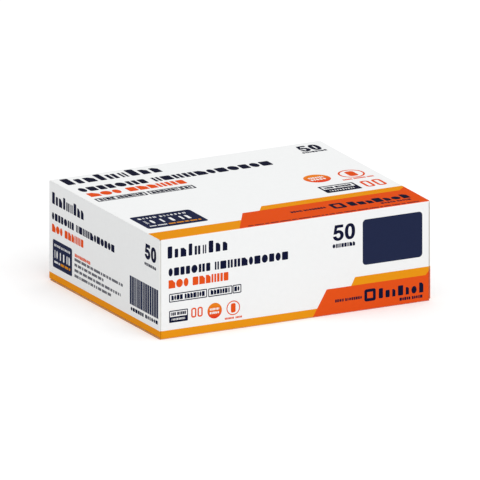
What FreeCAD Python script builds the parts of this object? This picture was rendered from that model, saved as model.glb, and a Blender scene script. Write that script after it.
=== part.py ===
import FreeCAD, Part

import math
import os

import Sketcher

# A folding carton for fifty single-use peel packs, closed, standing on its bottom panel.
# The frame: +X along the length towards the right end, +Y to the back, +Z up, origin under
# the middle of the carton. All lengths are in millimetres.

SIZES = [
    # name, value, what it is
    ("carton_length", 240.0, "outside, over the two end closures"),
    ("carton_width", 190.0, "outside, front to back"),
    ("carton_height", 82.0, "outside, floor to top"),
    ("board", 0.6, "thickness of the folded board"),
    ("fold_radius", 1.0, "outside radius of a pressed fold"),
    ("glue_lap", 15.0, "height of the glued lap inside the back panel"),
    ("lap_taper", 5.0, "slant of the lap's two ends"),
    ("seam_lift", 1.5, "cut edge of the back panel above the floor"),
    ("crease_gap", 0.3, "top and bottom panel's ends to the outside of the closures"),
    ("slide_gap", 0.4, "between a closure and the board that it slides past"),
    ("closure_side", 0.3, "closure's cut sides inside the width of the carton"),
    ("closure_corner", 1.5, "radius of a closure's lower corners"),
    ("tuck_depth", 15.0, "how far a tuck tongue reaches in"),
    ("tuck_inset", 3.0, "side of the carton to the root of the tongue"),
    ("tuck_taper", 4.0, "how much the tongue narrows on each side"),
    ("tuck_corner", 7.0, "radius of the tongue's free corners"),
    ("dust_length", 65.0, "side of the carton to the free end of a dust flap"),
    ("dust_root", 12.0, "side of the carton to where a dust flap starts to taper"),
    ("dust_taper", 13.0, "how far the upper edge of a dust flap drops to its free end"),
    ("dust_corner", 6.0, "radius of a dust flap's free corners"),
    ("pack_rows", 5.0, "packs across the width"),
    ("pack_layers", 5.0, "packs on top of each other"),
    ("pack_play", 0.5, "between packs side by side, and from them to the walls"),
    ("pack_seat", 0.1, "between one layer and the next"),
    ("pack_headroom", 0.8, "top layer to the top panel"),
    ("end_play", 0.9, "packs to the dust flaps"),
    ("rim_thickness", 0.5, "sealed rim of a pack, paper and film"),
    ("rim_side", 3.5, "width of the rim along a pack's long sides"),
    ("rim_inner", 8.0, "width of the rim where two packs meet end to end"),
    ("tuck_room", 3.0, "tongue's free edge to the nearest tray"),
    ("tray_corner", 4.0, "cut across a tray's upright corners, along each side"),
    ("tray_draft", 9.0, "degrees that a tray's walls lean in towards its floor"),
]

# Places that several pieces share, each written once from the sizes.
HALF_LENGTH = "sizes.carton_length / 2"
HALF_WIDTH = "sizes.carton_width / 2"
HEIGHT = "sizes.carton_height"
BOARD = "sizes.board"
FOLD = "sizes.fold_radius"
INNER_FOLD = "(sizes.fold_radius - sizes.board)"

# Depths are measured in from the outside face of a closure, and heights from the floor.
CLOSURE_FOOT = "(sizes.board + sizes.slide_gap)"
DUST_FACE = "(sizes.board + sizes.slide_gap)"
WALL_END = f"({DUST_FACE} + sizes.fold_radius)"
LIP_END = "(sizes.board + sizes.crease_gap)"

# A closure swings about the upper edge of its end. What swings with it stays inside this radius,
# to pass over the bottom panel, so the tongue rises from its fold to its free edge.
SWING = f"({HEIGHT} - {CLOSURE_FOOT})"
TONGUE_TIP = f"({HEIGHT} - sqrt({SWING} ^ 2 - sizes.tuck_depth ^ 2))"
TONGUE_SLOPE = f"(({TONGUE_TIP} - {CLOSURE_FOOT}) / sizes.tuck_depth)"
TONGUE_THICK = f"(sizes.board * sqrt(1 + {TONGUE_SLOPE} ^ 2))"
# Halfway along, the tongue comes closest to the hinge, and the dust flaps stay above that.
TONGUE_CREST = f"({HEIGHT} - sqrt({SWING} ^ 2 - sizes.tuck_depth ^ 2 / 4))"
DUST_FOOT = f"({TONGUE_CREST} + sizes.fold_radius + sizes.slide_gap)"
DUST_TOP = f"({HEIGHT} - sizes.board - sizes.slide_gap)"

PACK_END = "(2 * sizes.board + sizes.slide_gap + sizes.end_play)"
PACK_FRONT = f"({HALF_WIDTH} - 2 * sizes.board - sizes.pack_play)"
PACK_PITCH = f"((2 * {PACK_FRONT} + sizes.pack_play) / sizes.pack_rows)"
PACK_WIDTH = f"({PACK_PITCH} - sizes.pack_play)"
LAYER_PITCH = f"(({HEIGHT} - 2 * sizes.board - sizes.pack_headroom) / sizes.pack_layers)"
PACK_FLOOR = "(sizes.board + sizes.pack_seat)"
RIM_FOOT = f"(sizes.board + {LAYER_PITCH} - sizes.rim_thickness)"

doc = FreeCAD.newDocument("carton")


def make_sheet():
    """The driving sizes, one row each: name, value, what it is."""
    sheet = doc.addObject("Spreadsheet::Sheet", "sizes")
    for row, (name, value, meaning) in enumerate(SIZES, start=1):
        sheet.set(f"A{row}", name)
        sheet.set(f"B{row}", str(value))
        sheet.set(f"C{row}", meaning)
        sheet.setAlias(f"B{row}", name)
    doc.recompute()


def make_body(name):
    """An empty body, labelled with the name of its piece."""
    body = doc.addObject("PartDesign::Body", name)
    body.Label = name
    return body


def make_sketch(body, name, role, offset=None):
    """A sketch on one of the body's origin planes, moved along its normal by an expression."""
    sketch = body.newObject("Sketcher::SketchObject", name)
    plane = next(item for item in body.Origin.OriginFeatures if item.Role == role)
    sketch.AttachmentSupport = [(plane, "")]
    sketch.MapMode = "FlatFace"
    if offset:
        sketch.setExpression("AttachmentOffset.Base.z", offset)
    doc.recompute()
    return sketch


def add_bound(sketch, constraint, name, expression):
    """Adds a constraint, names it and ties it to an expression."""
    index = sketch.addConstraint(constraint)
    sketch.renameConstraint(index, name)
    sketch.setExpression(f"Constraints.{name}", expression)


def pin(sketch, geometry, name, across, up):
    """Holds the first point of a piece of geometry at the place two expressions give."""
    for kind, expression in (("DistanceX", across), ("DistanceY", up)):
        value = float(sketch.evalExpression(expression))
        constraint = Sketcher.Constraint(kind, geometry, 1, value)
        add_bound(sketch, constraint, f"{name}_{kind[-1]}", expression)


def draw_outline(sketch, name, corners):
    """A closed outline through corners (across, up, radius), all expressions; radius None is sharp.

    A rounded corner keeps a construction point where its two sides would meet, so that it stays
    in place when its radius changes.
    """
    count = len(corners)
    points = [
        FreeCAD.Vector(
            float(sketch.evalExpression(across)), float(sketch.evalExpression(up)), 0
        )
        for across, up, _ in corners
    ]
    arcs = []
    leaves, arrives = list(points), list(points)
    for i, (_, _, radius) in enumerate(corners):
        if radius is None:
            arcs.append(None)
            continue
        size = float(sketch.evalExpression(radius))
        back = (points[i - 1] - points[i]).normalize()
        ahead = (points[(i + 1) % count] - points[i]).normalize()
        half = back.getAngle(ahead) / 2
        centre = points[i] + (back + ahead).normalize() * (size / math.sin(half))
        arrives[i] = points[i] + back * (size / math.tan(half))
        leaves[i] = points[i] + ahead * (size / math.tan(half))
        turns_left = ahead.cross(back).z > 0
        first, last = (arrives[i], leaves[i]) if turns_left else (leaves[i], arrives[i])
        start = math.atan2(first.y - centre.y, first.x - centre.x)
        end = math.atan2(last.y - centre.y, last.x - centre.x)
        circle = Part.Circle(centre, FreeCAD.Vector(0, 0, 1), size)
        arcs.append((Part.ArcOfCircle(circle, start, end), turns_left, size))
    sides = [
        sketch.addGeometry(Part.LineSegment(leaves[i], arrives[(i + 1) % count]))
        for i in range(count)
    ]
    for i, (across, up, radius) in enumerate(corners):
        before, after = sides[i - 1], sides[i]
        label = f"{name}{i}"
        if radius is None:
            sketch.addConstraint(Sketcher.Constraint("Coincident", before, 2, after, 1))
            pin(sketch, after, label, across, up)
            continue
        curve, turns_left, size = arcs[i]
        arc = sketch.addGeometry(curve)
        corner = sketch.addGeometry(Part.Point(points[i]), True)
        near, far = (1, 2) if turns_left else (2, 1)
        sketch.addConstraint(Sketcher.Constraint("Tangent", before, 2, arc, near))
        sketch.addConstraint(Sketcher.Constraint("Tangent", arc, far, after, 1))
        sketch.addConstraint(Sketcher.Constraint("PointOnObject", corner, 1, before))
        sketch.addConstraint(Sketcher.Constraint("PointOnObject", corner, 1, after))
        pin(sketch, corner, label, across, up)
        add_bound(sketch, Sketcher.Constraint("Radius", arc, size), f"{label}_round", radius)


def draw_box(sketch, name, low_across, low_up, high_across, high_up, radius=None):
    """An upright rectangle between two corners, its own corners sharp or rounded."""
    places = [(low_across, low_up), (high_across, low_up), (high_across, high_up)]
    places.append((low_across, high_up))
    draw_outline(sketch, name, [(across, up, radius) for across, up in places])


def extrude(body, kind, sketch, name, length, both_ways=False, backwards=False):
    """A Pad or a Pocket of a sketch. It must change the volume of the body."""
    before = 0 if body.Shape.isNull() else body.Shape.Volume
    feature = body.newObject(f"PartDesign::{kind}", name)
    feature.Profile = sketch
    feature.setExpression("Length", length)
    feature.Midplane = both_ways
    feature.Reversed = backwards
    doc.recompute()
    if abs(body.Shape.Volume - before) < 1e-3:
        raise RuntimeError(f"{name} changed nothing")


def end_place(side, depth):
    """Across the length: a depth in from the left (-1) or the right (1) end."""
    return f"{side} * ({HALF_LENGTH} - {depth})"


def side_place(side, depth):
    """Across the width: a depth in from the front (-1) or the back (1)."""
    return f"{side} * ({HALF_WIDTH} - {depth})"


def make_carton():
    """Top, front, bottom and back panel, the glued lap and four dust flaps: one folded sheet."""
    body = make_body("carton")
    add_sleeve(body)
    cut_sleeve_ends(body)
    for end in (-1, 1):
        for side in (-1, 1):
            add_dust_flap(body, end, side)
    return body


def add_sleeve(body):
    """The tube of four panels. The bottom panel ends in a lap, glued inside the back panel."""
    section = make_sketch(body, "sleeve_section", "YZ_Plane")
    back_face = side_place(1, BOARD)
    lap_face = side_place(1, f"2 * {BOARD}")
    draw_outline(section, "outer", [
        (side_place(-1, "0"), "0", FOLD),
        (back_face, "0", FOLD),
        (back_face, "sizes.seam_lift", None),
        (side_place(1, "0"), "sizes.seam_lift", None),
        (side_place(1, "0"), HEIGHT, FOLD),
        (side_place(-1, "0"), HEIGHT, FOLD),
    ])
    draw_outline(section, "inner", [
        (side_place(-1, BOARD), BOARD, INNER_FOLD),
        (lap_face, BOARD, INNER_FOLD),
        (lap_face, "sizes.glue_lap", None),
        (back_face, "sizes.glue_lap", None),
        (back_face, f"{HEIGHT} - {BOARD}", INNER_FOLD),
        (side_place(-1, BOARD), f"{HEIGHT} - {BOARD}", INNER_FOLD),
    ])
    length = "sizes.carton_length - 2 * sizes.crease_gap"
    extrude(body, "Pad", section, "sleeve", length, both_ways=True)


def cut_sleeve_ends(body):
    """Sets the side walls back behind the closures and bevels the top panel at its two creases."""
    walls = make_sketch(body, "wall_ends_outline", "XZ_Plane")
    creases = make_sketch(body, "creases_outline", "XZ_Plane")
    lips = make_sketch(body, "lips_outline", "XY_Plane")
    lap = make_sketch(body, "lap_ends_outline", "XZ_Plane", f"-({HALF_WIDTH} - {BOARD})")
    for number, end in enumerate((-1, 1)):
        outside = end_place(end, "-sizes.board")
        draw_box(
            walls, f"end{number}", outside, FOLD, end_place(end, WALL_END), f"{HEIGHT} - {FOLD}"
        )
        draw_outline(creases, f"end{number}", [
            (end_place(end, f"(sizes.crease_gap - {BOARD})"), f"{HEIGHT} + {BOARD}", None),
            (end_place(end, f"(sizes.crease_gap + 2 * {BOARD})"), f"{HEIGHT} - 2 * {BOARD}", None),
            (end_place(end, f"(sizes.crease_gap - {BOARD})"), f"{HEIGHT} - 2 * {BOARD}", None),
        ])
        draw_outline(lap, f"end{number}", [
            (end_place(end, DUST_FACE), f"{FOLD} + {BOARD}", None),
            (end_place(end, DUST_FACE), f"sizes.glue_lap + {FOLD}", None),
            (end_place(end, f"({WALL_END} + sizes.lap_taper)"), f"sizes.glue_lap + {FOLD}", None),
        ])
        for side in (-1, 1):
            draw_box(
                lips, f"end{number}side{side + 1}", outside, side_place(side, "-sizes.board"),
                end_place(end, LIP_END), side_place(side, f"({FOLD} + {BOARD})"),
            )
    extrude(body, "Pocket", walls, "wall_ends", "2 * sizes.carton_width", both_ways=True)
    extrude(body, "Pocket", creases, "creases", "2 * sizes.carton_width", both_ways=True)
    extrude(body, "Pocket", lips, "lips", "4 * sizes.carton_height", both_ways=True)
    extrude(body, "Pocket", lap, "lap_ends", BOARD, backwards=True)


def add_dust_flap(body, end, side):
    """A flap folded in from the end of a side wall, tapered along its upper edge."""
    tag = f"{'left' if end < 0 else 'right'}_{'front' if side < 0 else 'back'}"
    fold = make_sketch(body, f"{tag}_dust_fold_section", "XY_Plane", DUST_FOOT)
    root = f"(2 * {FOLD})"
    wall = end_place(end, f"({WALL_END} + {FOLD})")
    face, inside = end_place(end, DUST_FACE), end_place(end, f"({DUST_FACE} + {BOARD})")
    draw_outline(fold, "fold", [
        (wall, side_place(side, "0"), None),
        (face, side_place(side, "0"), FOLD),
        (face, side_place(side, root), None),
        (inside, side_place(side, root), None),
        (inside, side_place(side, BOARD), INNER_FOLD),
        (wall, side_place(side, BOARD), None),
    ])
    extrude(body, "Pad", fold, f"{tag}_dust_fold", f"{DUST_TOP} - {DUST_FOOT}")
    panel = make_sketch(body, f"{tag}_dust_panel_outline", "YZ_Plane", face)
    tip = side_place(side, "sizes.dust_length")
    draw_outline(panel, "panel", [
        (side_place(side, FOLD), DUST_FOOT, None),
        (tip, DUST_FOOT, "sizes.dust_corner"),
        (tip, f"{DUST_TOP} - sizes.dust_taper", "sizes.dust_corner"),
        (side_place(side, "sizes.dust_root"), DUST_TOP, None),
        (side_place(side, FOLD), DUST_TOP, None),
    ])
    extrude(body, "Pad", panel, f"{tag}_dust_panel", BOARD, backwards=end > 0)


def make_closure(name, turn):
    """An end panel with its tuck tongue, made at the left end and turned about the carton."""
    body = make_body(name)
    add_closure_board(body)
    cut_closure_outline(body)
    body.Placement = FreeCAD.Placement(
        FreeCAD.Vector(0, 0, 0), FreeCAD.Rotation(FreeCAD.Vector(0, 0, 1), turn)
    )
    return body


def add_closure_board(body):
    """The bent strip: bevelled at the crease, down the end, round the fold and up the tongue."""
    section = make_sketch(body, "closure_section", "XZ_Plane")
    outside, inside = end_place(-1, "0"), end_place(-1, BOARD)
    beyond = f"(sizes.tuck_depth + {FOLD})"
    tip = end_place(-1, beyond)
    tip_foot = f"{CLOSURE_FOOT} + {TONGUE_SLOPE} * {beyond}"
    draw_outline(section, "strip", [
        (outside, f"{HEIGHT} - sizes.crease_gap", None),
        (outside, CLOSURE_FOOT, FOLD),
        (tip, tip_foot, None),
        (tip, f"{tip_foot} + {TONGUE_THICK}", None),
        (inside, f"{CLOSURE_FOOT} + {TONGUE_SLOPE} * {BOARD} + {TONGUE_THICK}", INNER_FOLD),
        (inside, f"{HEIGHT} - sizes.crease_gap - {BOARD}", None),
    ])
    extrude(body, "Pad", section, "strip", "sizes.carton_width", both_ways=True)


def cut_closure_outline(body):
    """Trims the strip to the outline of the end panel, and its tongue to a rounded trapezoid."""
    panel = make_sketch(body, "closure_panel_outline", "YZ_Plane")
    draw_box(
        panel, "waste", side_place(-1, "-sizes.tuck_depth"), "-sizes.tuck_depth",
        side_place(1, "-sizes.tuck_depth"), f"{HEIGHT} + sizes.tuck_depth",
    )
    left, right = side_place(-1, "sizes.closure_side"), side_place(1, "sizes.closure_side")
    draw_outline(panel, "panel", [
        (left, CLOSURE_FOOT, "sizes.closure_corner"),
        (right, CLOSURE_FOOT, "sizes.closure_corner"),
        (right, HEIGHT, FOLD),
        (left, HEIGHT, FOLD),
    ])
    extrude(body, "Pocket", panel, "panel_trim", "2 * sizes.carton_length", both_ways=True)
    tongue = make_sketch(body, "tongue_outline", "XY_Plane")
    draw_box(
        tongue, "waste", end_place(-1, "-2 * sizes.tuck_depth"),
        side_place(-1, "-2 * sizes.tuck_depth"), end_place(-1, "2 * sizes.tuck_depth"),
        side_place(1, "-2 * sizes.tuck_depth"),
    )
    root, tip = end_place(-1, BOARD), end_place(-1, "sizes.tuck_depth")
    narrow = "(sizes.tuck_inset + sizes.tuck_taper)"
    outside = end_place(-1, "-sizes.tuck_depth")
    draw_outline(tongue, "tongue", [
        (outside, side_place(-1, "-sizes.tuck_depth"), None),
        (root, side_place(-1, "-sizes.tuck_depth"), None),
        (root, side_place(-1, "sizes.tuck_inset"), None),
        (tip, side_place(-1, narrow), "sizes.tuck_corner"),
        (tip, side_place(1, narrow), "sizes.tuck_corner"),
        (root, side_place(1, "sizes.tuck_inset"), None),
        (root, side_place(1, "-sizes.tuck_depth"), None),
        (outside, side_place(1, "-sizes.tuck_depth"), None),
    ])
    extrude(body, "Pocket", tongue, "tongue_trim", "2 * sizes.tuck_depth", both_ways=True)


def make_unit_packs():
    """Sealed peel packs: a flat rim over a tapered tray, with a wide rim to peel at the ends."""
    body = make_body("unit_packs")
    body.AllowCompound = True
    rim_ends = (end_place(-1, PACK_END), "-sizes.pack_play / 2")
    rim_sides = (f"-{PACK_FRONT}", f"-{PACK_FRONT} + {PACK_WIDTH}")
    rim = make_sketch(body, "rim_outline", "XY_Plane", RIM_FOOT)
    draw_box(rim, "rim", rim_ends[0], rim_sides[0], rim_ends[1], rim_sides[1])
    extrude(body, "Pad", rim, "rim", "sizes.rim_thickness")
    mouth = make_sketch(body, "tray_mouth", "XY_Plane", RIM_FOOT)
    draw_tray(
        mouth,
        end_place(-1, "(sizes.tuck_depth + sizes.tuck_room)"),
        f"{rim_sides[0]} + sizes.rim_side",
        f"{rim_ends[1]} - sizes.rim_inner",
        f"{rim_sides[1]} - sizes.rim_side",
    )
    extrude(body, "Pad", mouth, "tray", f"{RIM_FOOT} - {PACK_FLOOR}", backwards=True)
    tray = body.getObject("tray")
    tray.setExpression("TaperAngle", "-sizes.tray_draft")
    doc.recompute()
    repeat_pack(body, [body.getObject("rim"), tray])
    return body


def draw_tray(sketch, left, front, right, back):
    """A level cut through a tray: a rectangle with its four corners cut off at 45 degrees."""
    cut = "sizes.tray_corner"
    draw_outline(sketch, "tray", [
        (f"{left} + {cut}", front, None),
        (f"{right} - {cut}", front, None),
        (right, f"{front} + {cut}", None),
        (right, f"{back} - {cut}", None),
        (f"{right} - {cut}", back, None),
        (f"{left} + {cut}", back, None),
        (left, f"{back} - {cut}", None),
        (left, f"{front} + {cut}", None),
    ])


def repeat_pack(body, features):
    """Mirrors the pack to the other end of the carton and repeats it across and upwards."""
    origin = {item.Role: item for item in body.Origin.OriginFeatures}
    packs = body.newObject("PartDesign::MultiTransform", "packs")
    packs.Originals = features
    ends = body.newObject("PartDesign::Mirrored", "ends")
    ends.MirrorPlane = (origin["YZ_Plane"], [""])
    rows = body.newObject("PartDesign::LinearPattern", "rows")
    rows.Direction = (origin["Y_Axis"], [""])
    rows.setExpression("Occurrences", "sizes.pack_rows")
    rows.setExpression("Length", f"{PACK_PITCH} * (sizes.pack_rows - 1)")
    layers = body.newObject("PartDesign::LinearPattern", "layers")
    layers.Direction = (origin["Z_Axis"], [""])
    layers.setExpression("Occurrences", "sizes.pack_layers")
    layers.setExpression("Length", f"{LAYER_PITCH} * (sizes.pack_layers - 1)")
    packs.Transformations = [ends, rows, layers]
    body.Tip = packs
    doc.recompute()


def export(pieces):
    """Checks the whole document, then writes one STEP file for each piece."""
    doc.recompute()
    for item in doc.Objects:
        if {"Invalid", "Error"} & set(item.State):
            raise RuntimeError(f"{item.Label} failed: {item.State}")
    os.makedirs("parts", exist_ok=True)
    for piece in pieces:
        shape = piece.Shape
        if shape.isNull() or not shape.isValid():
            raise RuntimeError(f"{piece.Label} has no valid shape")
        shape.exportStep(f"parts/{piece.Label}.step")
        print(piece.Label, "solids:", len(shape.Solids), "volume:", round(shape.Volume, 1))


make_sheet()
export([
    make_carton(),
    make_closure("left_closure_flap", 0),
    make_closure("right_closure_flap", 180),
    make_unit_packs(),
])
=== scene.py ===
# %% [markdown]
# # A closed folding carton, dressed around its CAD model
#
# The carton is one printed sheet of white-lined board, folded into a sleeve and shut at each end
# by a tucked flap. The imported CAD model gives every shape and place. Blender adds what the board
# looks like: coating, raw edges, ink, the stretched creases at the flaps, floor, light and camera.

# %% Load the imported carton
import math
import random

import bmesh
import bpy
from mathutils import Matrix, Vector


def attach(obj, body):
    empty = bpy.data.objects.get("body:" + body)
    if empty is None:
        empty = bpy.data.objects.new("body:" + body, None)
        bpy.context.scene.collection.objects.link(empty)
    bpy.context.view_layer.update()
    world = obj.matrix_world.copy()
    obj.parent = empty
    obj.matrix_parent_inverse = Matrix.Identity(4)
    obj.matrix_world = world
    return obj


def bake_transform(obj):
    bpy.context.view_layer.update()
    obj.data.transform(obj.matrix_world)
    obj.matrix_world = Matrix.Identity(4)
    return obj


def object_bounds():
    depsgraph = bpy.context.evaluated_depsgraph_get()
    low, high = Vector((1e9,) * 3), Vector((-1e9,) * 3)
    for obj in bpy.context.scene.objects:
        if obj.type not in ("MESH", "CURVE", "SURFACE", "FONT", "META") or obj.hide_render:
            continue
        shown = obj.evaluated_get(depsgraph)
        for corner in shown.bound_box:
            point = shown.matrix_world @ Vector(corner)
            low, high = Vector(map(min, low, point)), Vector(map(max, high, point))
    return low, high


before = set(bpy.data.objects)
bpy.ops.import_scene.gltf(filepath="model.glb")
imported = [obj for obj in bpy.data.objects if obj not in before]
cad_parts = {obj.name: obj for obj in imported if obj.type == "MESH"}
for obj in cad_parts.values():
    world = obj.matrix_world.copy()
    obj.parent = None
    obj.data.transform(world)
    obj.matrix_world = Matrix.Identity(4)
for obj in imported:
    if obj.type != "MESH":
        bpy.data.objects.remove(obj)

MM = 0.001
cad_box = [list(corner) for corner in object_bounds()]
LENGTH, WIDTH, HEIGHT = (round((high - low) / MM, 2) for low, high in zip(*cad_box))
HALF_LENGTH, HALF_WIDTH = LENGTH / 2, WIDTH / 2
print("CAD box, mm:", LENGTH, WIDTH, HEIGHT)

# %% [markdown]
# ## The camera
#
# The photograph's edges stay parallel, so the camera is orthographic. Its direction and scale
# were worked out from the carton's corners: 27.3 degrees round to the left and 16.4 degrees up.
# The camera's own axes are written straight into its matrix. That is surer than turning it with
# angles, because the aim point and the frame's edges follow from the same two axes.

# %% Camera
AROUND, UP = math.radians(-27.339), math.radians(16.382)
FRAME_WIDTH = 0.37822
AIM_RIGHT, AIM_UP = 0.179 * MM, 39.51 * MM
CAMERA_DISTANCE = 1.6

to_right = Vector((math.cos(AROUND), math.sin(AROUND), 0))
to_camera = Vector((
    math.sin(AROUND) * math.cos(UP), -math.cos(AROUND) * math.cos(UP), math.sin(UP)
))
to_top = to_camera.cross(to_right)
lens = bpy.data.cameras.new("carton_view")
lens.type = "ORTHO"
lens.ortho_scale = FRAME_WIDTH
camera = bpy.data.objects.new("carton_view", lens)
bpy.context.scene.collection.objects.link(camera)
camera.matrix_world = Matrix((to_right, to_top, to_camera)).transposed().to_4x4()
camera.location = to_right * AIM_RIGHT + to_top * AIM_UP + to_camera * CAMERA_DISTANCE
bpy.context.scene.camera = camera
print("camera looks from", [round(x, 3) for x in camera.location])

# %% [markdown]
# ## Building materials from nodes
#
# Every finish here is worked out from the object's own coordinates, in millimetres, so a mark
# stays on the board when a flap swings. A few short helpers keep the node trees readable. The
# first ones add a node, feed a socket, do one step of arithmetic, and spread a number over a ramp.

# %% Helpers for nodes and numbers
def add_node(tree, kind, **settings):
    """A node of one kind, with its settings."""
    node = tree.nodes.new(kind)
    for name, value in settings.items():
        setattr(node, name, value)
    return node


def feed(tree, socket, value):
    """Puts a number, a colour or another node's output into a socket."""
    if isinstance(value, bpy.types.NodeSocket):
        tree.links.new(value, socket)
    else:
        socket.default_value = value


def work_out(tree, operation, *values):
    """One step of arithmetic, such as ADD or ABSOLUTE."""
    step = add_node(tree, "ShaderNodeMath", operation=operation)
    for socket, value in zip(step.inputs, values):
        feed(tree, socket, value)
    return step.outputs[0]


def ramp(tree, value, start, end, **settings):
    """A number that is 0 up to the start, 1 from the end on, and rises between them."""
    spread = add_node(tree, "ShaderNodeMapRange", **settings)
    for label, number in (("Value", value), ("From Min", start), ("From Max", end)):
        feed(tree, spread.inputs[label], number)
    return spread.outputs[0]


print("helpers:", [helper.__name__ for helper in (add_node, feed, work_out, ramp)])

# %% [markdown]
# ## Masks and mixes
#
# A mask is a number that is 1 on one part of the surface and 0 elsewhere. Multiplying masks keeps
# the place where they all hold, and taking the larger one keeps the place where any of them does.
# A mask then chooses between two colours, or between two numbers.

# %% Helpers for masks
def over(tree, value, limit):
    """1 where the value is greater than the limit."""
    return work_out(tree, "GREATER_THAN", value, limit)


def under(tree, value, limit):
    """1 where the value is less than the limit."""
    return work_out(tree, "LESS_THAN", value, limit)


def all_of(tree, mask, *others):
    """1 where every mask is 1."""
    for other in others:
        mask = work_out(tree, "MULTIPLY", mask, other)
    return mask


def any_of(tree, mask, *others):
    """1 where at least one mask is 1."""
    for other in others:
        mask = work_out(tree, "MAXIMUM", mask, other)
    return mask


def mix_colours(tree, mask, below, above):
    """The colour above where the mask is 1, and the colour below where it is 0."""
    mix = add_node(tree, "ShaderNodeMix", data_type="RGBA")
    for socket, value in zip((mix.inputs[0], mix.inputs[6], mix.inputs[7]), (mask, below, above)):
        feed(tree, socket, value)
    return mix.outputs[2]


def mix_numbers(tree, mask, below, above):
    """The number above where the mask is 1, and the number below where it is 0."""
    mix = add_node(tree, "ShaderNodeMix")
    for socket, value in zip((mix.inputs[0], mix.inputs[2], mix.inputs[3]), (mask, below, above)):
        feed(tree, socket, value)
    return mix.outputs[0]


print("masks:", [helper.__name__ for helper in (over, under, all_of, any_of)])

# %% [markdown]
# ## Colours
#
# Printers think of a colour as it shows, on a scale of 0 to 255, and shaders want linear light. One
# function turns the first into the second. The top is mostly seen at a low angle, where sheen
# lightens ink, so its inks are painted a little deeper than those of the sides: painted shade
# that offsets the sheen.

# %% Palette
def ink(red, green, blue):
    """A linear colour from the 0 to 255 values that it should show."""
    def linear(value):
        share = value / 255
        return share / 12.92 if share <= 0.04045 else ((share + 0.055) / 1.055) ** 2.4
    return (linear(red), linear(green), linear(blue), 1)


WHITE_COAT = ink(240, 241, 241)
RAW_PLY = ink(229, 224, 211)
CUT_EDGE = ink(240, 239, 235)
AMBER = ink(230, 148, 24)
# painted light: the ends' amber is a little lighter than the sides', to lift the end out of its half shade
END_AMBER_PAINTED_LIGHT = ink(236, 149, 26)
RED_ORANGE = ink(224, 82, 28)
NAVY = ink(18, 22, 50)
LABEL_NAVY = ink(35, 42, 70)
# painted shade: deeper copies of the top's inks, which offset the sheen seen at a low angle
SHADED_TOP_AMBER = ink(228, 144, 14)
SHADED_TOP_RED = ink(221, 78, 20)
SHADED_TOP_NAVY = ink(4, 8, 36)
SHADED_TOP_LABEL_NAVY = ink(22, 29, 61)
DEEP_RED = ink(222, 60, 34)
WARM_ORANGE = ink(230, 128, 32)
print("white coat in linear light:", [round(x, 3) for x in WHITE_COAT[:3]])

# %% [markdown]
# ## Node groups
#
# An effect that several materials share is built once as a group with named sockets, and placed
# in each material with its own values. One helper makes an empty group, and one places it.

# %% Helpers for groups
NUMBER, COLOUR, VECTOR = "NodeSocketFloat", "NodeSocketColor", "NodeSocketVector"


def new_group(name, inputs, outputs):
    """An empty node group with named sockets, and its input and output nodes."""
    group = bpy.data.node_groups.new(name, "ShaderNodeTree")
    for label, kind in inputs:
        group.interface.new_socket(name=label, in_out="INPUT", socket_type=kind)
    for label, kind in outputs:
        group.interface.new_socket(name=label, in_out="OUTPUT", socket_type=kind)
    given = group.nodes.new("NodeGroupInput").outputs
    result = group.nodes.new("NodeGroupOutput").inputs
    return group, given, result


def place_group(tree, group, **values):
    """Puts a node group in a tree, with values for its named inputs, and returns its outputs."""
    node = add_node(tree, "ShaderNodeGroup", node_tree=group)
    for name, value in values.items():
        feed(tree, node.inputs[name], value)
    return node.outputs


print("group sockets are of", NUMBER, COLOUR, VECTOR)

# %% [markdown]
# ## Fibre under the coating
#
# Clay-coated board is smooth but not perfect: fibres show as a very faint mottle and as tiny
# unevenness in the gloss. The same grain is under the bare white, under the inks and on the raw
# side, only in different strengths. That makes it a node group with a strength, used everywhere.
# Two noise layers do it: cloudy patches of about 4 mm, and fibres of about 0.3 mm.

# %% Group: board grain
CLOUDS_PER_MM, CLOUD_DETAIL = 0.25, 3
FIBRES_PER_MM, FIBRE_DETAIL = 3.0, 2
GLOSS_SWING = 0.12

grain_group, given, result = new_group(
    "board_grain",
    [("Vector", VECTOR), ("Colour", COLOUR), ("Mottle", NUMBER), ("Gloss", NUMBER)],
    [("Colour", COLOUR), ("Roughness", NUMBER), ("Height", NUMBER)],
)
cloud = add_node(grain_group, "ShaderNodeTexNoise")
fibre = add_node(grain_group, "ShaderNodeTexNoise")
for noise, scale, detail in ((cloud, CLOUDS_PER_MM, CLOUD_DETAIL), (fibre, FIBRES_PER_MM, FIBRE_DETAIL)):
    noise.inputs["Scale"].default_value = scale
    noise.inputs["Detail"].default_value = detail
    feed(grain_group, noise.inputs["Vector"], given["Vector"])
both = work_out(grain_group, "ADD", cloud.outputs[0], fibre.outputs[0])
around_zero = work_out(grain_group, "SUBTRACT", both, 1.0)
swing = work_out(grain_group, "MULTIPLY", around_zero, given["Mottle"])
tint = add_node(grain_group, "ShaderNodeHueSaturation")
feed(grain_group, tint.inputs["Color"], given["Colour"])
feed(grain_group, tint.inputs["Value"], work_out(grain_group, "ADD", swing, 1.0))
feed(grain_group, result["Colour"], tint.outputs[0])
uneven = work_out(grain_group, "MULTIPLY", around_zero, GLOSS_SWING)
feed(grain_group, result["Roughness"], work_out(grain_group, "ADD", given["Gloss"], uneven))
feed(grain_group, result["Height"], fibre.outputs[0])
print("group", grain_group.name, "has", len(grain_group.nodes), "nodes")

# %% [markdown]
# ## Pressed folds
#
# A coated sheet is creased before it is folded, and on the crown of the fold the coat stretches.
# Ink thins there and the white under it comes through in specks. The group takes how far a point
# is from the fold's sharp corner, measured along both faces and added up. That sum is least on
# the crown, so one number finds it on any fold, and noise breaks it into specks.

# %% Group: pressed fold
CROWN, FOLD_END = 0.586, 0.95
SPECKS_PER_MM, SPECK_DETAIL = 2.2, 3
SPECK_START, SPECK_FULL = 0.42, 0.62

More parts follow.
